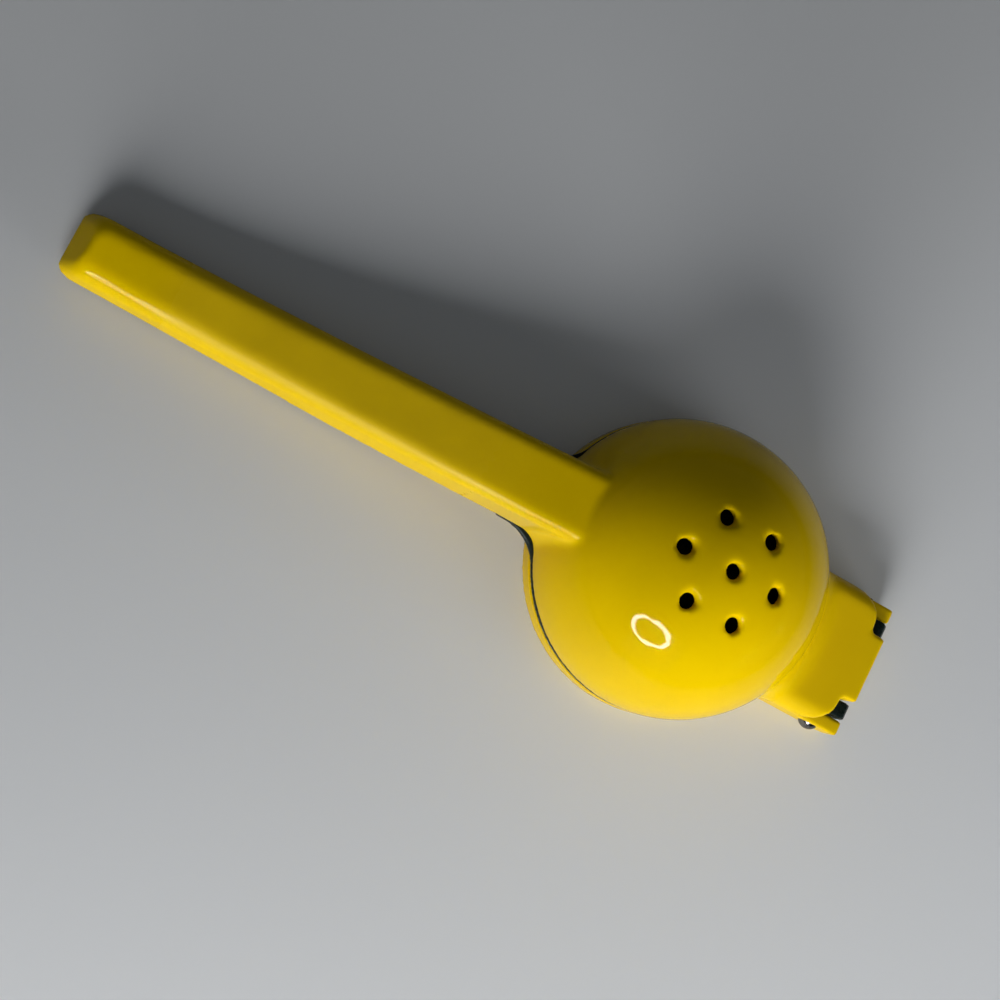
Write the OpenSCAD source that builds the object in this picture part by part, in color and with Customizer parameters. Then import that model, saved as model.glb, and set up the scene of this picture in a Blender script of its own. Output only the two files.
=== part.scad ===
// Hinged lemon squeezer with a lime insert, closed and lying dome up.
// X runs along the tool with the hinge at +X and the handles at -X, Z is up.
// The press half stands on Z = 0 and the origin is under the middle of the whole length.

/* [Bowl] */
// Outer diameter of the bowl at its rim
bowl_d = 76; // [70:1:84]
// Thickness of the bowl's wall
bowl_wall = 3; // [2:0.1:3.6]
// Height of the straight band between the rim and the dome
band_h = 0.8; // [0.4:0.1:3]
// Diameter of a juice hole in the bowl
hole_d = 4; // [3:0.1:5]
// Radius of the ring of juice holes around the middle one
hole_ring_r = 12.7; // [9:0.1:16]
// Number of juice holes in the ring
hole_count = 6; // [4:1:8]
// Depth of the rounded-off lip around each juice hole
hole_lip = 0.7; // [0.2:0.1:1.2]

/* [Bowl handle] */
// Distance from the bowl's axis to the far end of its handle
handle_reach = 168.7; // [130:0.1:190]
// Width of the handle where it leaves the bowl
handle_root_w = 19.8; // [17:0.1:22]
// Width of the handle at its far end
handle_tip_w = 17.4; // [15:0.1:19]
// Height of the handle's back above the rim where it meets the dome
handle_root_top = 21.4; // [17:0.1:24]
// Height of the handle's back above the rim at its far end
handle_tip_top = 2; // [0:0.1:6]
// Bow of the handle's back, 1 for a straight line
handle_bow = 1.7; // [1:0.05:2.2]
// How far the handle's edges hang below the rim
handle_drop = 7; // [5.5:0.1:8]
// Distance from the bowl's axis at which the edges hang that far
drop_reach = 110; // [80:1:120]
// Thickness of the handle's walls
handle_wall = 2.6; // [1.8:0.1:2.8]
// Rounding of the handle's back where it leaves the bowl
root_round = 3.2; // [2:0.1:4]
// Rounding of the handle's back at its far end
tip_round = 5.2; // [2.5:0.1:5.6]
// How much the sides of the handle draw in towards its back
side_draft = 0.5; // [0:0.1:1]
// How far the far end leans out below its top edge
end_lean = 5.2; // [1:0.1:6]
// Rounding of the handle's far corners seen from above
end_round = 3; // [2:0.1:6]
// Radius of the fillet between the handle and the bowl at the rim
neck_round = 7; // [4:0.5:8]
// Radius of that fillet at the handle's back
crest_round = 2; // [1:0.5:4]

/* [Lime insert] */
// Space for lemon peel between the bowl and the insert
lemon_gap = 5; // [4.5:0.1:6]
// Thickness of the insert's wall
insert_wall = 2.4; // [1.8:0.1:3]
// Thickness of the insert's flange
flange_t = 2; // [1.6:0.1:3]
// How far the flange's edge stands back from the bowl's rim
flange_inset = 0.1; // [0:0.1:1]
// Diameter of a juice hole in the insert
insert_hole_d = 4; // [3:0.1:5]
// Radius of the insert's ring of juice holes
insert_ring_r = 11; // [8:0.1:13]
// Distance from the bowl's axis to the end of the lifting tab
tab_reach = 48; // [46:0.5:50]
// Width of the lifting tab
tab_w = 19.6; // [15:0.1:19.8]
// Radius of the web between the tab and the flange
tab_round = 13; // [8:0.5:14]

/* [Press] */
// Space for lime peel between the insert and the press
lime_gap = 5.5; // [4.5:0.1:7]
// Thickness of the press's wall
press_wall = 3; // [2:0.1:4]
// Height of the press's base ring
ring_h = 6.4; // [6:0.1:8]
// Thickness of the base ring's outer wall
ring_wall = 2.8; // [2:0.1:4]
// Width of the press's handle where it leaves the ring
grip_root_w = 13.2; // [10:0.1:13.4]
// Width of the press's handle at its far end
grip_tip_w = 10.8; // [8:0.1:11]
// Thickness of the press handle's side walls
grip_wall = 2.2; // [1.6:0.1:3]
// Thickness of the press handle's back
grip_web = 2.1; // [1.6:0.1:3]
// Rounding of the press handle's lower edges
grip_round = 1.8; // [1:0.1:2]

/* [Hinge] */
// Distance from the bowl's axis to the hinge pin
pin_x = 52.3; // [51:0.1:56]
// Depth of the pin's axis below the bowl's rim
pin_drop = 4; // [3.6:0.1:4.4]
// Diameter of the hinge pin
pin_d = 4; // [3:0.1:5]
// Diameter of the pin's domed head
pin_head_d = 5.2; // [5:0.1:7]
// Height of the pin's domed head
pin_head_h = 1.5; // [0.8:0.1:2.4]
// Width of the bowl's middle knuckle
tongue_w = 18.4; // [14:0.1:19]
// Width of each of the insert's knuckles
lug_w = 4.4; // [3.5:0.1:5]
// Width of each of the press's ears
ear_w = 4; // [3:0.1:4.5]
// Radius of the outer knuckles around the pin
knuckle_r = 8; // [7:0.1:8.2]
// Height of the hinge hood's flat top above the rim
hood_top = 7; // [6.6:0.1:9]
// Thickness of the hood's plate and flanges
hood_wall = 2.4; // [1.8:0.1:2.6]
// Width of the hood over its flanges
hood_w = 37; // [36:0.1:40]
// Rounding of the hood's long edges
hood_round = 4.8; // [3:0.1:5]
// Radius of the fillet between the hood and the bowl
hood_fillet = 9; // [3:0.5:12]
// How far the hood's shoulders reach past the pin
shoulder_reach = 0.7; // [0:0.1:2]
// Rounding of the hood's shoulders seen from above
shoulder_round = 8; // [4:0.5:9]

/* [Fits] */
// Radial clearance of the pin in the parts that turn on it
run_clear = 0.05; // [0.02:0.01:0.1]
// Gap between neighbouring knuckles along the pin
side_clear = 0.3; // [0.2:0.05:0.5]
// Gap between the closed rims
seat_gap = 0.3; // [0.2:0.05:0.4]
// Gap around a knuckle where the hood passes over it
knuckle_gap = 0.4; // [0.3:0.1:0.8]
// Gap between the bowl's rim and the knuckles' arms beside it
arm_gap = 0.6; // [0.4:0.1:1]
// Gap between the end of the press's handle and the bowl handle's end wall
grip_gap = 1.4; // [1:0.1:3]
// Height of the knuckles' undersides above the table
knuckle_lift = 0.2; // [0.1:0.1:0.5]
// How far the pin's plain end stands out of its ear
pin_tail = 0.4; // [0.2:0.1:1]

/* [Hidden] */
$fn = 96;
eps = 0.01;
through = 200;
corner_steps = 6;

// heights
insert_z = ring_h + seat_gap;
rim_z = insert_z + flange_t + seat_gap;
dome_z = rim_z + band_h;
pin_z = rim_z - pin_drop;

// nested domes, all about one centre
bowl_r = bowl_d / 2;
bowl_in = bowl_r - bowl_wall;
insert_r = bowl_in - lemon_gap;
insert_in = insert_r - insert_wall;
press_r = insert_in - lime_gap;
press_in = press_r - press_wall;

// knuckles along the pin, measured from the middle plane
tongue_y = tongue_w / 2;
lug_y0 = tongue_y + side_clear;
lug_y1 = lug_y0 + lug_w;
ear_y0 = lug_y1 + side_clear;
ear_y1 = ear_y0 + ear_w;
knuckle_low = pin_z - knuckle_lift;
tongue_r = knuckle_low;
relief_r = knuckle_r + knuckle_gap;
lug_above = 5.8;
lug_beyond = 7;
ear_above = pin_drop - seat_gap;
ear_beyond = 7.4;
hinge_end = pin_x + ear_beyond;

// handles
root_x = 30;
crest_x = 0.9 * bowl_r;
bend_x = tab_reach + 1;
handle_top_reach = handle_reach - end_lean;
lean_fade = 25;
grip_reach = handle_top_reach - handle_wall - grip_gap;

// sections of the lofted shapes
side_steps = 5;
bar_steps = 12;
fillet_steps = 6;
// depth to which a fillet's edge runs into the round body beside it
bite = 0.12;
// step in the handle's edges where they clear the insert's tab
heel = 0.6;
// how far a cutting shape runs past what it cuts
over = 1;
// least rounding inside a channel, and least flat part of the handle's back
least_round = 0.8;
least_flat = 0.5;

// the middle of the whole length stands at the origin
mid_x = (hinge_end - handle_reach) / 2;

// ---- helpers -------------------------------------------------------------------------

function mix(a, b, t) = a + (b - a) * t;
function along(x, x0, x1) = min(1, max(0, (x - x0) / (x1 - x0)));

module centred() {
    translate([-mid_x, 0, 0]) children();
}

// a block standing on its lower corner, symmetric about the middle plane
module slab(x0, x1, half_w, z0, z1) {
    translate([x0, -half_w, z0]) cube([x1 - x0, 2 * half_w, z1 - z0]);
}

// the same block on both sides of the middle plane, from y0 to y1
module twin_slab(x0, x1, y0, y1, z0, z1) {
    for (side = [0, 1])
        mirror([0, side, 0])
            translate([x0, y0, z0]) cube([x1 - x0, y1 - y0, z1 - z0]);
}

// a cylinder along Y from y0 to y1, centred on the pin's axis
module on_pin(r, y0, y1) {
    translate([pin_x, y0, pin_z]) rotate([-90, 0, 0]) cylinder(r = r, h = y1 - y0);
}

// a solid dome: a straight band from z0 up to the common centre, then half a ball
module dome(r, z0) {
    rotate_extrude()
        intersection() {
            union() {
                translate([0, dome_z]) circle(r);
                translate([0, z0]) square([r, dome_z - z0]);
            }
            translate([0, z0]) square([r, dome_z - z0 + r]);
        }
}

// one hole in the middle and a ring of them, drilled straight down through a dome
module juice_holes(d, ring_r, r_out, turn) {
    spots = concat([[0, 0]], [for (i = [0:hole_count - 1])
        ring_r * [cos(turn + 360 * i / hole_count), sin(turn + 360 * i / hole_count)]]);
    for (p = spots) {
        lip_z = dome_z + sqrt(r_out * r_out - p[0] * p[0] - p[1] * p[1]);
        translate([p[0], p[1], dome_z]) cylinder(d = d, h = r_out + eps);
        translate([p[0], p[1], lip_z - hole_lip])
            cylinder(d1 = d, d2 = d + 4 * hole_lip, h = 2 * hole_lip);
    }
}

// the web that joins a round body to a straight neck on its -X side
module neck_web(body_r, half_w, web_r, z0, z1) {
    web_y = half_w + web_r;
    web_x = -sqrt(pow(body_r - bite + web_r, 2) - pow(web_y, 2));
    translate([0, 0, z0])
        linear_extrude(z1 - z0)
            difference() {
                polygon([[0, 0], [web_x, web_y], [web_x, -web_y]]);
                for (side = [-1, 1]) translate([web_x, side * web_y]) circle(web_r);
            }
}

// ---- lofted shapes -------------------------------------------------------------------

// Half of an arch section from its foot to its crown, as [y, z, normal y, normal z]:
// a drafted side, a rounded corner and a flat top.
function half_arch(foot, shoulder, z_low, z_high, r, side_steps, top_steps) = concat(
    [for (i = [0:side_steps - 1])
        [mix(foot, shoulder, i / side_steps), mix(z_low, z_high - r, i / side_steps), 1, 0]],
    [for (i = [0:corner_steps]) let (a = 90 * i / corner_steps)
        [shoulder - r + r * cos(a), z_high - r + r * sin(a), cos(a), sin(a)]],
    [for (i = [1:top_steps]) [(shoulder - r) * (1 - i / top_steps), z_high, 0, 1]]
);

// the whole section, from the foot at -Y over the crown to the foot at +Y
function whole_arch(half) = concat(
    [for (p = half) [-p[0], p[1], -p[2], p[3]]],
    [for (i = [len(half) - 2:-1:0]) half[i]]
);

// skins a list of sections of equal length, each a list of [x, y, z] points
module skin(rings) {
    count = len(rings[0]);
    last = len(rings) - 1;
    points = [for (ring = rings) each ring];
    quads = [for (i = [0:last - 1]) for (j = [0:count - 1])
        [i * count + j, i * count + (j + 1) % count,
         (i + 1) * count + (j + 1) % count, (i + 1) * count + j]];
    triangles = [for (q = quads) each [[q[0], q[2], q[1]], [q[0], q[3], q[2]]]];
    first_cap = [for (j = [0:count - 1]) j];
    last_cap = [for (j = [count - 1:-1:0]) last * count + j];
    polyhedron(points, concat(triangles, [first_cap, last_cap]), convexity = 6);
}

// One slice of the fillet between the dome and a bar that leaves it along -X. A ball of
// radius f rolls in the corner; p is the point of the bar's section that it touches.
function fillet_slice(p, f) =
    let (h = p[1] - dome_z,
         up = max(0, h),
         reach = p[0] * p[2] + up * p[3] + f - bite,
         aside = p[0] * p[3] - up * p[2],
         x = sqrt(pow(bowl_r - bite + f, 2) - reach * reach - aside * aside),
         ball = [-x, p[0] + (f - bite) * p[2], up + (f - bite) * p[3]],
         sink = [0, 0, min(0, h) + dome_z],
         to_dome = ball / norm(ball),
         to_bar = [0, p[2], p[3]])
    concat([for (i = [0:fillet_steps])
                let (u = mix(to_bar, to_dome, i / fillet_steps)) ball - f * u / norm(u) + sink],
           [[1 - x * bowl_r / (bowl_r + f), p[0] - p[2], up - p[3]] + sink]);

module fillet(path, low_f, high_f) {
    top = max([for (p = path) p[1]]);
    skin([for (p = path) fillet_slice(p, mix(low_f, high_f, along(p[1], rim_z, top)))]);
}

// how much the plan narrows near a rounded end, x being the distance short of the end
function plan_inset(x, r) = x >= r ? 0 : r - sqrt(r * r - pow(r - max(0, x), 2));
// places of the extra sections in a rounded end
function end_places(reach, r) = [for (a = [0:18:90]) reach - r + r * sin(a)];

// ---- bowl handle ---------------------------------------------------------------------

// height of the handle's back and of its lower edges at a distance x from the bowl's axis
function back_z(x) = rim_z + handle_tip_top + (handle_root_top - handle_tip_top)
                     * pow(max(0, (handle_top_reach - x) / (handle_top_reach - root_x)), handle_bow);
function edge_z(x) = rim_z - heel
                     - (handle_drop - heel) * (1 - pow(1 - along(x, bend_x, drop_reach), 2));
function bar_half(x) = mix(handle_root_w, handle_tip_w, along(x, bowl_r, handle_reach)) / 2;
function bar_round(x) = mix(root_round, tip_round, along(x, bowl_r, handle_reach));
// the slope of the far end, faded in along the last stretch
function lean(x, z) = end_lean * pow(along(x, handle_top_reach - lean_fade, handle_top_reach), 2)
                      * (back_z(x) - z) / (back_z(x) - edge_z(x));

function handle_ring(x, shrink) =
    let (half = bar_half(x) - shrink,
         r = min(bar_round(x), half - side_draft - least_flat))
    [for (p = whole_arch(half_arch(half, half - side_draft, edge_z(x), back_z(x), r, 1, 1)))
        [-x - lean(x, p[1]), p[0], p[1]]];

function channel_ring(x, shrink) =
    let (half = bar_half(x) - handle_wall - shrink,
         r = max(least_round, bar_round(x) - handle_wall))
    [for (p = whole_arch(half_arch(half, half - side_draft, edge_z(x) - over, back_z(x) - handle_wall,
                                   r, 1, 1)))
        [-x - lean(x, p[1]), p[0], p[1]]];

module handle_body() {
    straight = handle_top_reach - end_round - over;
    places = concat([root_x, bowl_r + crest_round],
                    [for (i = [0:bar_steps]) mix(bend_x, straight, i / bar_steps)],
                    end_places(handle_top_reach, end_round));
    skin([for (x = places) handle_ring(x, plan_inset(handle_top_reach - x, end_round))]);
}

// the open channel under the handle, between its walls
module handle_channel() {
    tip = handle_top_reach - handle_wall;
    inner_round = max(least_round, end_round - handle_wall);
    places = concat([bowl_r + handle_wall],
                    [for (i = [0:bar_steps]) mix(bend_x, tip - inner_round - over, i / bar_steps)],
                    end_places(tip, inner_round));
    skin([for (x = places) channel_ring(x, plan_inset(tip - x, inner_round))]);
}

module handle_fillet() {
    half = handle_root_w / 2;
    fillet(whole_arch(half_arch(half, half - side_draft, rim_z - heel, back_z(crest_x), root_round,
                                side_steps, 2)), neck_round, crest_round);
}

// ---- hinge hood ----------------------------------------------------------------------

// the hood's outline across the hinge, from its flanges' feet to its rounded long edges
module hood_section() {
    half_w = hood_w / 2;
    low = rim_z - heel;
    high = rim_z + hood_top;
    intersection() {
        translate([-half_w, low]) square([hood_w, high - low]);
        union() {
            translate([-half_w, low]) square([hood_w, high - hood_round - low]);
            translate([hood_round - half_w, low]) square([hood_w - 2 * hood_round, high - low]);
            for (side = [-1, 1])
                translate([side * (half_w - hood_round), high - hood_round]) circle(hood_round);
        }
    }
}

// plan of the hood: a wide tab with rounded shoulders and the middle knuckle's tongue
module hood_plan() {
    far = pin_x + shoulder_reach;
    translate([0, -hood_w]) square([far - shoulder_round, 2 * hood_w]);
    translate([0, shoulder_round - hood_w / 2]) square([far, hood_w - 2 * shoulder_round]);
    for (side = [-1, 1])
        translate([far - shoulder_round, side * (hood_w / 2 - shoulder_round)]) circle(shoulder_round);
    translate([0, -tongue_y]) square([pin_x + tongue_r, tongue_w]);
}

module hood() {
    half_w = hood_w / 2;
    under = rim_z + hood_top - hood_wall;
    difference() {
        intersection() {
            translate([root_x, 0, 0])
                rotate([90, 0, 90]) linear_extrude(through) hood_section();
            linear_extrude(through) hood_plan();
        }
        twin_slab(bowl_in, through, tongue_y, half_w - hood_wall, rim_z - over, under);
        for (side = [0, 1]) mirror([0, side, 0]) on_pin(relief_r, tongue_y, half_w + over);
    }
}

module hood_fillet_ring() {
    half_w = hood_w / 2;
    mirror([1, 0, 0])
        fillet(whole_arch(half_arch(half_w, half_w, rim_z - heel, rim_z + hood_top, hood_round, 2, 5)),
               hood_fillet, hood_fillet);
}

// middle knuckle: hangs from the hood's plate and wraps the pin
module tongue() {
    translate([0, tongue_y, 0])
        rotate([90, 0, 0])
            linear_extrude(tongue_w)
                union() {
                    translate([pin_x, pin_z]) circle(tongue_r);
                    translate([pin_x - tongue_r, pin_z])
                        square([2 * tongue_r, rim_z + hood_top - hood_wall / 2 - pin_z]);
                    translate([bowl_in, rim_z + seat_gap])
                        square([pin_x - bowl_in, hood_top - hood_wall / 2 - seat_gap]);
                }
}

module bowl() {
    color("gold")
        centred()
            difference() {
                union() {
                    difference() {
                        union() {
                            dome(bowl_r, rim_z - over);
                            handle_body();
                            handle_fillet();
                            hood();
                            hood_fillet_ring();
                        }
                        // everything but the handle's edges ends flat at the rim
                        slab(-bend_x, hinge_end + over, bowl_r + over, rim_z - 2 * over, rim_z);
                    }
                    tongue();
                }
                translate([0, 0, -eps]) dome(bowl_in, rim_z - over);
                handle_channel();
                juice_holes(hole_d, hole_ring_r, bowl_r, 0);
                on_pin(pin_d / 2 + run_clear, -tongue_y - over, tongue_y + over);
            }
}

// ---- lime insert ---------------------------------------------------------------------

// side outline of a knuckle: a disc around the pin with a flat top, end and bottom
module knuckle_outline(above, beyond) {
    intersection() {
        translate([pin_x, pin_z]) circle(knuckle_r);
        translate([pin_x - knuckle_r, pin_z - knuckle_low])
            square([knuckle_r + beyond, knuckle_low + above]);
    }
}

module twin_knuckles(y0, y1, above, beyond) {
    for (side = [-1, 1])
        translate([0, side > 0 ? y1 : -y0, 0])
            rotate([90, 0, 0])
                linear_extrude(y1 - y0) knuckle_outline(above, beyond);
}

module lime_insert() {
    arm_x = bowl_r + arm_gap;
    flange_r = bowl_r - flange_inset;
    color([0.06, 0.09, 0.08])
        centred()
            difference() {
                union() {
                    dome(insert_r, insert_z);
                    translate([0, 0, insert_z]) cylinder(r = flange_r, h = flange_t);
                    neck_web(flange_r, tab_w / 2, tab_round, insert_z, insert_z + flange_t);
                    slab(-tab_reach, -insert_r, tab_w / 2, insert_z, insert_z + flange_t);
                    twin_slab(insert_r, pin_x, lug_y0, lug_y1, insert_z, insert_z + flange_t);
                    twin_slab(arm_x, pin_x, lug_y0, lug_y1, pin_z, pin_z + lug_above);
                    twin_knuckles(lug_y0, lug_y1, lug_above, lug_beyond);
                }
                translate([0, 0, -eps]) dome(insert_in, insert_z - over);
                juice_holes(insert_hole_d, insert_ring_r, insert_r, 180 / hole_count);
                on_pin(pin_d / 2 + run_clear, -lug_y1 - over, lug_y1 + over);
            }
}

// ---- press ---------------------------------------------------------------------------

// one section of the press's handle, an arch turned over so that its back is below
function grip_ring(x, inset, shrink) =
    let (half = mix(grip_root_w, grip_tip_w, along(x, bowl_r, grip_reach)) / 2 - inset - shrink,
         r = max(least_flat, grip_round - inset))
    [for (p = whole_arch(half_arch(half, half, -ring_h, inset == 0 ? 0 : -grip_web, r, 1, 1)))
        [-x, -p[0], -p[1]]];

module grip_body() {
    places = concat([press_r], end_places(grip_reach, end_round));
    skin([for (x = places) grip_ring(x, 0, plan_inset(grip_reach - x, end_round))]);
}

module grip_channel() {
    tip = grip_reach - grip_wall;
    inner_round = max(least_round, end_round - grip_wall);
    places = concat([bowl_r + grip_wall], end_places(tip, inner_round));
    skin([for (x = places) [for (p = grip_ring(x, grip_wall, plan_inset(tip - x, inner_round)))
        p[2] == ring_h ? p + [0, 0, over] : p]]);
}

module press() {
    color("gold")
        centred()
            difference() {
                union() {
                    dome(press_r, 0);
                    cylinder(r = bowl_r, h = ring_h);
                    grip_body();
                    neck_web(bowl_r, grip_root_w / 2, neck_round, 0, ring_h);
                    difference() {
                        twin_slab(press_r, pin_x, ear_y0, ear_y1, knuckle_lift, pin_z + ear_above);
                        translate([0, 0, ring_h]) cylinder(r = bowl_r + arm_gap, h = through);
                    }
                    twin_knuckles(ear_y0, ear_y1, ear_above, ear_beyond);
                }
                translate([0, 0, -eps]) dome(press_in, -over);
                translate([0, 0, -over])
                    difference() {
                        cylinder(r = bowl_r - ring_wall, h = ring_h - press_wall + over);
                        translate([0, 0, -over]) cylinder(r = press_r, h = through);
                    }
                grip_channel();
                on_pin(pin_d / 2, -ear_y1 - over, ear_y1 + over);
            }
}

// ---- hinge pin -----------------------------------------------------------------------

module hinge_pin() {
    head_r = pin_head_d / 2;
    ball_r = (head_r * head_r + pin_head_h * pin_head_h) / (2 * pin_head_h);
    color("silver")
        centred()
            union() {
                on_pin(pin_d / 2, -ear_y1, ear_y1 + pin_tail);
                translate([pin_x, -ear_y1, pin_z])
                    rotate([90, 0, 0])
                        rotate_extrude()
                            intersection() {
                                translate([0, pin_head_h - ball_r]) circle(ball_r);
                                square([head_r, pin_head_h]);
                            }
            }
}

bowl();
lime_insert();
press();
hinge_pin();
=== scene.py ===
# %% [markdown]
# # A hinged lemon squeezer, dressed in Blender
#
# The squeezer lies closed on a table: a yellow enamelled strainer bowl with a long channel
# handle, a dark lime insert under it, a press half at the bottom and one steel hinge pin.
# The solids come packed from the CAD part. This script gives them their finish, softens the
# cast edges, and sets up the table, the light and the camera.

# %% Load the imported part
from math import cos, radians, sin

import bpy
from mathutils import Matrix, Vector


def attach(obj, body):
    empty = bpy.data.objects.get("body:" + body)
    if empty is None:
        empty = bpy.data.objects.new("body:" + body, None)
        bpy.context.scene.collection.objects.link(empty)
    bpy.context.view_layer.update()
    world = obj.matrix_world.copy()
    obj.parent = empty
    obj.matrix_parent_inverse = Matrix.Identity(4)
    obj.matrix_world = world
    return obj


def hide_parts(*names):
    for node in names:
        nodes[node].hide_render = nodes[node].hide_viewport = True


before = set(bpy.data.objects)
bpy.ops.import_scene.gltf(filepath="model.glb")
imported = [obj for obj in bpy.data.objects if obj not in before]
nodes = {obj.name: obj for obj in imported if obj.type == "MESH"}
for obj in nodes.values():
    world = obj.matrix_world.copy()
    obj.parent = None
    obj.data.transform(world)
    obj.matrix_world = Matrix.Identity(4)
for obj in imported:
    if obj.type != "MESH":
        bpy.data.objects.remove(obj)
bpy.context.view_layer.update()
scene = bpy.context.scene
MM = 0.001


def in_mm(corner):
    return [round(value / MM, 1) for value in corner]


# %% [markdown]
# ## One landmark
#
# The circle of the bowl's rim is the easiest thing to find in the photograph and in the part.
# Its centre is named here once: the camera and the lamps are placed from it, and the table
# changes with the distance from it.

# %% The centre of the bowl's rim
BOWL_X = 0.0545
RIM_Z = 0.009
bowl_centre = Vector((BOWL_X, 0.0, RIM_Z))
print("bowl centre in mm:", in_mm(bowl_centre))

# %% [markdown]
# ## Camera
#
# The photograph looks steeply down on the squeezer, a little from behind the handle's end,
# with the tool lying slantwise across the picture. A camera has three directions of its own:
# right, up and back. They are written here for the part's frame and put side by side in a
# matrix, which is the plainest way to give a camera an exact roll. Up is worked out from the
# other two, so that the three stay square to each other.

# %% Camera
SENSOR_WIDTH, FOCAL_LENGTH = 36.0, 64.8        # both in mm
CAMERA_RIGHT = Vector((0.8538, 0.4473, 0.2663))
CAMERA_BACK = Vector((-0.2270, -0.1404, 0.9637))
CAMERA_FROM_BOWL = Vector((-0.14945, -0.06845, 0.42735))

camera_data = bpy.data.cameras.new("camera")
camera_data.sensor_width, camera_data.lens = SENSOR_WIDTH, FOCAL_LENGTH
camera_data.clip_start, camera_data.clip_end = 0.01, 20.0
camera = bpy.data.objects.new("camera", camera_data)
scene.collection.objects.link(camera)
scene.camera = camera
back = CAMERA_BACK.normalized()
up = back.cross(CAMERA_RIGHT.normalized()).normalized()
right = up.cross(back)
turn = Matrix((right, up, back)).transposed().to_4x4()
camera.matrix_world = Matrix.Translation(bowl_centre + CAMERA_FROM_BOWL) @ turn
print("camera at, in mm:", in_mm(camera.matrix_world.translation))

# %% [markdown]
# ## Writing materials as sums
#
# A material is a graph of nodes, and long graphs are hard to read as wires. This small class
# wraps one output socket and overloads the arithmetic signs, so that a pattern reads like
# the sum that it is. Everything else goes through one method that makes any node. Its last
# helper, clipped, turns a value into a share that eases from 0 to 1 between two bounds.

# %% A socket that can be added and multiplied
class Wire:
    def __init__(self, tree, socket):
        self.tree, self.socket = tree, socket

    def node(self, kind, settings=None, **values):
        return make_node(self.tree, kind, settings, **values)

    def math(self, operation, a, b=0.0):
        return self.node("ShaderNodeMath", {"operation": operation}, _0=a, _1=b)

    def __add__(self, other): return self.math("ADD", self, other)
    def __radd__(self, other): return self.math("ADD", other, self)
    def __sub__(self, other): return self.math("SUBTRACT", self, other)
    def __rsub__(self, other): return self.math("SUBTRACT", other, self)
    def __mul__(self, other): return self.math("MULTIPLY", self, other)
    def __rmul__(self, other): return self.math("MULTIPLY", other, self)

    def clipped(self, low, high):
        return self.node("ShaderNodeMapRange", {"clamp": True, "interpolation_type": "SMOOTHSTEP"},
                         Value=self, From_Min=low, From_Max=high)


def make_node(tree, kind, settings=None, out=0, **values):
    node = tree.nodes.new(kind)
    for name, value in (settings or {}).items():
        setattr(node, name, value)
    for name, value in values.items():
        key = int(name[1:]) if name[0] == "_" else name.replace("_", " ")
        socket = node.inputs[key]
        if isinstance(value, Wire):
            tree.links.new(value.socket, socket)
        else:
            socket.default_value = value
    return Wire(tree, node.outputs[out])


print("a Wire knows these signs: + - *")

# %% [markdown]
# Four more helpers serve the finishes and the lamps. One mixes two colours by a share, one
# measures the distance to a point, and one connects a finished pattern to the shader. The
# last makes a material, with its place on the piece in Object coordinates, so that a pattern
# is as large on the bowl as on the press.

# %% Helpers for finishes and lamps
def mixed(tree, share, first, second):
    first, second = (c if isinstance(c, Wire) else (*c, 1) for c in (first, second))
    return make_node(tree, "ShaderNodeMix", {"data_type": "RGBA"}, out=2,
                     _0=share, _6=first, _7=second)


def distance_to(point, place):
    return make_node(place.tree, "ShaderNodeVectorMath", {"operation": "DISTANCE"}, out="Value",
                     _0=place, _1=point)


def link(wire, socket):
    wire.tree.links.new(wire.socket, socket)


def new_material(name):
    material = bpy.data.materials.new(name)
    material.use_nodes = True
    tree = material.node_tree
    shader = tree.nodes["Principled BSDF"]
    place = make_node(tree, "ShaderNodeTexCoord", out="Object")
    return material, tree, shader, place


print("helpers ready")

# %% [markdown]
# ## The enamel
#
# Both halves are cast aluminium under a thick glossy yellow enamel, and the insert has a
# near-black one. The coat is almost even in colour, but it flowed a little before it set, so
# the reflections wobble softly, most of all along the handle. The gloss comes from a low
# roughness, and the wobble from a long, shallow noise through a Bump node. The middle of the
# handle, where the hand closes, and the hinge's hood are duller than the dome and the
# handle's end. A painted map could say where, but all of these places lie one after the
# other along the tool, so their X alone is enough.

# %% Enamel
NECK = (-0.025, 0.020)            # X from the handle to the dome, in metres
HOOD = (0.086, 0.094)             # X from the dome to the hinge's hood
END = (-0.096, -0.078)            # X from the handle's end to the part the hand holds
FLOW_SCALE, SPECK_SCALE = 45.0, 900.0
HANDLE_FLOW = 7.0                 # how much more the coat wobbles on the handle
SPECK_HEIGHT, SPECK_DULLNESS = 0.04, 0.05
COAT_DEPTH = 0.4 * MM
HOOD_WEAR = 0.6                   # of the wear in the middle of the handle
REFLECTANCE = 0.14


def enamel(name, colour, thick_colour, roughness, wobble, wear=0.0):
    material, tree, shader, place = new_material(name)
    x = make_node(tree, "ShaderNodeSeparateXYZ", out="X", _0=place)
    handle = 1.0 - x.clipped(*NECK)
    hood = x.clipped(*HOOD)
    grip = x.clipped(*END) * handle
    flow = make_node(tree, "ShaderNodeTexNoise", Vector=place, Scale=FLOW_SCALE, Detail=2.0)
    specks = make_node(tree, "ShaderNodeTexNoise", Vector=place, Scale=SPECK_SCALE, Detail=3.0)
    link(mixed(tree, flow.clipped(0.35, 0.75), colour, thick_colour), shader.inputs["Base Color"])
    worn = grip * wear + hood * wear * HOOD_WEAR
    link(specks * SPECK_DULLNESS + roughness + worn, shader.inputs["Roughness"])
    shader.inputs["Specular IOR Level"].default_value = REFLECTANCE
    height = flow * (1.0 + handle * HANDLE_FLOW) + specks * SPECK_HEIGHT
    skin = make_node(tree, "ShaderNodeBump", Height=height, Strength=wobble, Distance=COAT_DEPTH)
    link(skin, shader.inputs["Normal"])
    return material


print("the hand wears the handle from X", END[1], "to", NECK[0])

# %% [markdown]
# The yellow is a strong one with no blue in it, a little deeper where the coat is thick, and
# almost a mirror. The insert's coat is satin and has no wear, because the hand holds only
# the two yellow halves.

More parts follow.
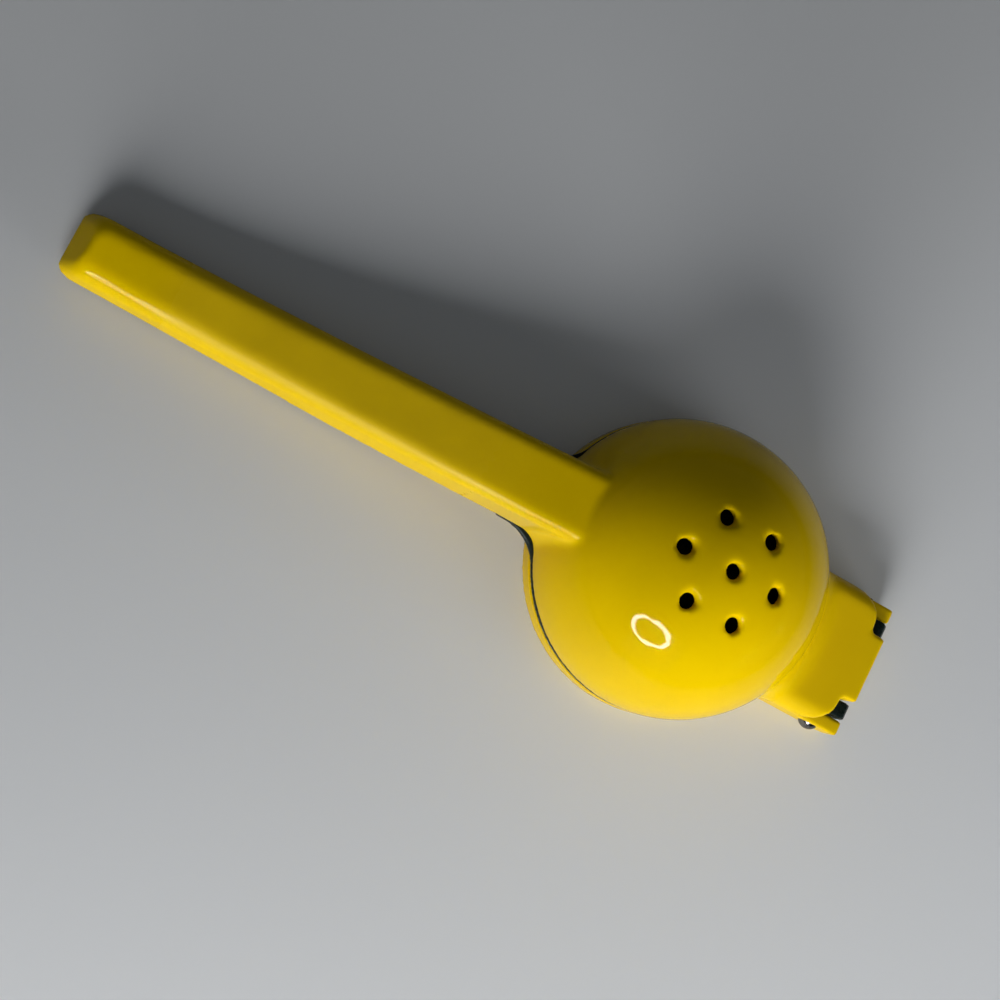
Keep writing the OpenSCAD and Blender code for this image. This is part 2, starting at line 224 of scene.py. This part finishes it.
# %% The two enamels
yellow = enamel("yellow_enamel", (0.73, 0.49, 0.0), (0.69, 0.46, 0.0),
                roughness=0.02, wobble=0.20, wear=0.42)
dark = enamel("dark_enamel", (0.007, 0.012, 0.011), (0.012, 0.019, 0.018),
              roughness=0.25, wobble=0.3)
print("materials:", yellow.name, dark.name)

# %% [markdown]
# ## The pin's steel
#
# The pin is a plain steel rivet, rubbed by the hinge. A metal shows what is around it, so its
# colour is only a tint: the same fine noise makes it darker and duller in small patches, as
# handling does.

# %% Pin steel
SCRATCH_SCALE = 600.0
STEEL_ROUGHNESS, SCRATCH_DULLNESS = 0.12, 0.2
CLEAN_STEEL, RUBBED_STEEL = (0.30, 0.29, 0.27), (0.16, 0.15, 0.14)


def steel(name):
    material, tree, shader, place = new_material(name)
    shader.inputs["Metallic"].default_value = 1.0
    scratch = make_node(tree, "ShaderNodeTexNoise", Vector=place, Scale=SCRATCH_SCALE, Detail=4.0)
    tone = mixed(tree, scratch.clipped(0.4, 0.7), CLEAN_STEEL, RUBBED_STEEL)
    link(tone, shader.inputs["Base Color"])
    link(scratch * SCRATCH_DULLNESS + STEEL_ROUGHNESS, shader.inputs["Roughness"])
    return material


pin_steel = steel("pin_steel")
print("material:", pin_steel.name)

# %% [markdown]
# ## Softening the castings
#
# A casting has no sharp edge: the mould's edges are rounded, and the enamel flows over them
# and pools in the corners. Rounding each edge by hand would take many bevels that meet badly
# where the handle runs into the dome. Instead a copy of each packed casting is melted a
# little: Remesh turns it into an even skin of small squares, and Smooth lets that skin relax.
# Convex edges round off and inner corners fill, as enamel does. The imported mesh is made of
# loose triangles, so the copy's doubles are merged first.

# %% A copy of a casting, melted a little
def melted(node, name, grain, passes):
    bpy.ops.object.select_all(action="DESELECT")
    piece = nodes[node].copy()
    piece.data = nodes[node].data.copy()
    piece.name = name
    piece.parent = None
    scene.collection.objects.link(piece)
    for key in list(piece.keys()):
        del piece[key]
    bpy.context.view_layer.objects.active = piece
    piece.select_set(True)
    bpy.ops.object.mode_set(mode="EDIT")
    bpy.ops.mesh.select_all(action="SELECT")
    bpy.ops.mesh.remove_doubles(threshold=1e-6)
    bpy.ops.object.mode_set(mode="OBJECT")
    skin = piece.modifiers.new("even_skin", "REMESH")
    skin.mode, skin.voxel_size, skin.use_smooth_shade = "VOXEL", grain, True
    relax = piece.modifiers.new("relax", "SMOOTH")
    relax.factor, relax.iterations = 0.5, passes
    for modifier in ("even_skin", "relax"):
        bpy.ops.object.modifier_apply(modifier=modifier)
    bpy.ops.object.shade_smooth()
    print(name, "has", len(piece.data.polygons), "faces")
    return piece


print("packed pieces:", sorted(nodes))

# %% [markdown]
# ## Dressing the pieces
#
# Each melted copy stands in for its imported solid, turns with the same body and takes its
# enamel. The bowl is the largest casting, so its grain is a little coarser, which keeps it
# below 200,000 triangles, and it gets as many passes as the press, whose edges are as thick.
# The insert is thinner and gets fewer. The pin is too small for that skin and keeps its own
# mesh, with the steel on it.

# %% The three castings and the pin
def dress(piece, node, body, material):
    piece.data.materials.clear()
    piece.data.materials.append(material)
    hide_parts(node)
    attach(piece, body)


bowl_skin = melted("bowl", "bowl_casting", 0.66 * MM, 5)
dress(bowl_skin, "bowl", "bowl", yellow)
press_skin = melted("press", "press_casting", 0.56 * MM, 5)
dress(press_skin, "press", "press", yellow)
insert_skin = melted("lime_insert", "insert_casting", 0.56 * MM, 4)
dress(insert_skin, "lime_insert", "insert", dark)
nodes["hinge_pin"].data.materials.clear()
nodes["hinge_pin"].data.materials.append(pin_steel)
print("dressed:", bowl_skin.name, press_skin.name, insert_skin.name, nodes["hinge_pin"].name)

# %% [markdown]
# ## Table
#
# The squeezer lies on a plain pale sheet with painted shade and painted light in its colour: a mix
# of two greys along a diagonal makes it darker behind the handle and paler in front of the hinge.
# A picture of a real table could be wrapped on the plane, but a plain sheet needs none.

# %% Table
TABLE_SIZE = 6.0
SHADED_SHEET, LIT_SHEET = (0.45, 0.461, 0.472), (0.78, 0.797, 0.815)
SHEET_EASE = (-0.25, 0.25)        # metres along the diagonal, from the shaded to the lit sheet

bpy.ops.object.select_all(action="DESELECT")
bpy.ops.mesh.primitive_plane_add(size=TABLE_SIZE, location=(0.0, 0.0, 0.0))
table = bpy.context.object
table.name = "table"
material, tree, shader, place = new_material("table_top")
x = make_node(tree, "ShaderNodeSeparateXYZ", out="X", _0=place)
y = make_node(tree, "ShaderNodeSeparateXYZ", out="Y", _0=place)
# painted shade and painted light: the sheet is darker behind the handle and paler in front of the
# hinge
painted_light_sheet = mixed(tree, (x * 0.75 - y * 0.8).clipped(*SHEET_EASE), SHADED_SHEET, LIT_SHEET)
shader.inputs["Roughness"].default_value = 0.6
table.data.materials.append(material)
print("table is", round(table.dimensions.x, 2), "m wide")

# %% [markdown]
# Three things change with the distance from the bowl. Beyond a quarter of a metre the sheet
# stops taking light, because the low lamps would burn it out there, and the camera alone sees
# an even pale grey instead. Light Path tells the material who is asking. The enamel's gloss
# asks too: in the photograph the dome mirrors a dim room and hardly any table, so the gloss
# gets a darker sheet, and the more so the farther away it is.

# %% What the camera and the gloss see of the table
FADE = (0.25, 0.60)               # metres from the bowl, from the sheet to the distance
BLACK, PALE_DISTANCE = (0.0, 0.0, 0.0), (0.40, 0.41, 0.42)
DIM_SHEET = (0.05, 0.05, 0.01)

for_camera = make_node(tree, "ShaderNodeLightPath", out="Is Camera Ray")
for_gloss = make_node(tree, "ShaderNodeLightPath", out="Is Glossy Ray")
away = distance_to(bowl_centre, place)
fade = away.clipped(*FADE)
sheet = mixed(tree, fade * 0.94, painted_light_sheet, BLACK)
dimmed = for_gloss * (0.3 + away.clipped(0.0, 0.4) * 0.7)
link(mixed(tree, dimmed, sheet, DIM_SHEET), shader.inputs["Base Color"])
distance = mixed(tree, for_camera * fade, BLACK, PALE_DISTANCE)
link(distance, shader.inputs["Emission Color"])
shader.inputs["Emission Strength"].default_value = 1.0
print("the sheet fades between", FADE[0], "m and", FADE[1], "m from the bowl")

# %% [markdown]
# ## Lamps
#
# A lamp is easiest to place as it is seen from the bowl: by its direction around the bowl,
# its height above the table in degrees, and how far off it stands. This helper turns the
# three into a place, and turns the lamp's face to the bowl. It could also be aimed with a
# Track To constraint, but a fixed turn has nothing left to work out later.

# %% A lamp that looks at the bowl
def lamp(name, azimuth, elevation, away, width, height, watts):
    data = bpy.data.lights.new(name, "AREA")
    data.shape = "RECTANGLE"
    data.size, data.size_y = width, height
    data.energy = watts
    lamp_object = bpy.data.objects.new(name, data)
    scene.collection.objects.link(lamp_object)
    a, e = radians(azimuth), radians(elevation)
    aim = Vector((cos(a) * cos(e), sin(a) * cos(e), sin(e)))
    lamp_object.location = bowl_centre + aim * away
    lamp_object.rotation_euler = aim.to_track_quat("Z", "Y").to_euler()
    print(name, "stands at, in mm:", in_mm(lamp_object.location))
    return lamp_object


print("lamps look at, in mm:", in_mm(bowl_centre))

# %% [markdown]
# ## Daylight
#
# Two soft shadows lie on the table: a long one behind the handle and a weaker one beside the
# bowl. Their edges and directions gave the two lamps here, a wide low one on the near side
# and a flat low one on the hinge's side. The enamel mirrors neither of them in the
# photograph, so both are hidden from the gloss.

# %% The near lamp and the window
near_lamp = lamp("softbox", azimuth=-88.0, elevation=21.0, away=1.20,
                 width=0.72, height=0.735, watts=16.2)
near_lamp.visible_glossy = False
window = lamp("window", azimuth=-14.0, elevation=12.0, away=1.20,
              width=0.81, height=0.15, watts=7.2)
window.visible_glossy = False
print("daylight:", round(near_lamp.data.energy + window.data.energy, 1), "W")

# %% [markdown]
# ## The bright loop
#
# The dome carries a small, thin bright loop, and the handle's end a short streak: the mirror
# image of a ring lamp. It could be a torus that glows, but then it would be a piece of the
# scene. A lamp has a node tree of its own instead: the Parametric output gives the place on
# the lamp's face, and a product of two steps leaves light only along the rim. This lamp is
# there for the gloss alone, so it doesn't light the enamel or the table.

# %% Ring lamp
FACE_MIDDLE = (0.5, 0.5, 0.0)     # of the lamp's face, which runs from 0 to 1
RING_INSIDE, RING_OUTSIDE = (0.38, 0.40), (0.48, 0.50)

ring = lamp("ring_lamp", azimuth=-98.0, elevation=29.5, away=0.9,
            width=0.50, height=0.31, watts=22.0)
ring.visible_diffuse = False
ring.data.use_nodes = True
tree = ring.data.node_tree
face = make_node(tree, "ShaderNodeNewGeometry", out="Parametric")
from_middle = distance_to(FACE_MIDDLE, face)
rim = from_middle.clipped(*RING_INSIDE) * (1.0 - from_middle.clipped(*RING_OUTSIDE))
link(rim, tree.nodes["Emission"].inputs["Strength"])
ring_width = (RING_INSIDE[1] + RING_OUTSIDE[0]) * ring.data.size
print("the ring is about", round(ring_width, 2), "m wide")

# %% [markdown]
# ## The room
#
# The room around is dim. Light Path again tells the world who is asking: the camera sees a
# pale background, shaded surfaces get a little soft light from the ceiling, and the gloss
# mirrors a dark ceiling above a faint horizon, which is what gives the dome its depth.

# %% Room
AIR = (0.90, 0.95, 1.0)
BACKGROUND, CEILING, HORIZON = 0.40, 0.19, 0.05

world = bpy.data.worlds.new("room")
world.use_nodes = True
scene.world = world
tree = world.node_tree
for_camera = make_node(tree, "ShaderNodeLightPath", out="Is Camera Ray")
for_gloss = make_node(tree, "ShaderNodeLightPath", out="Is Glossy Ray")
direction = make_node(tree, "ShaderNodeTexCoord", out="Generated")
height = make_node(tree, "ShaderNodeSeparateXYZ", out="Z", _0=direction)
ceiling = height.clipped(0.2, 1.0) * CEILING
horizon = (1.0 - height.clipped(-0.1, 0.6)) * HORIZON
room_light = for_camera * BACKGROUND + for_gloss * horizon + (1.0 - for_gloss) * ceiling
background = tree.nodes["Background"]
background.inputs["Color"].default_value = (*AIR, 1)
link(room_light, background.inputs["Strength"])

# %% [markdown]
# ## Last look
#
# The Standard view shows a colour about as it is written. Melting only takes material off the
# outer edges, so the dressed part stays inside the box of the solids.

# %% The Standard view
view_settings = scene.view_settings
view_settings.view_transform = "Standard"
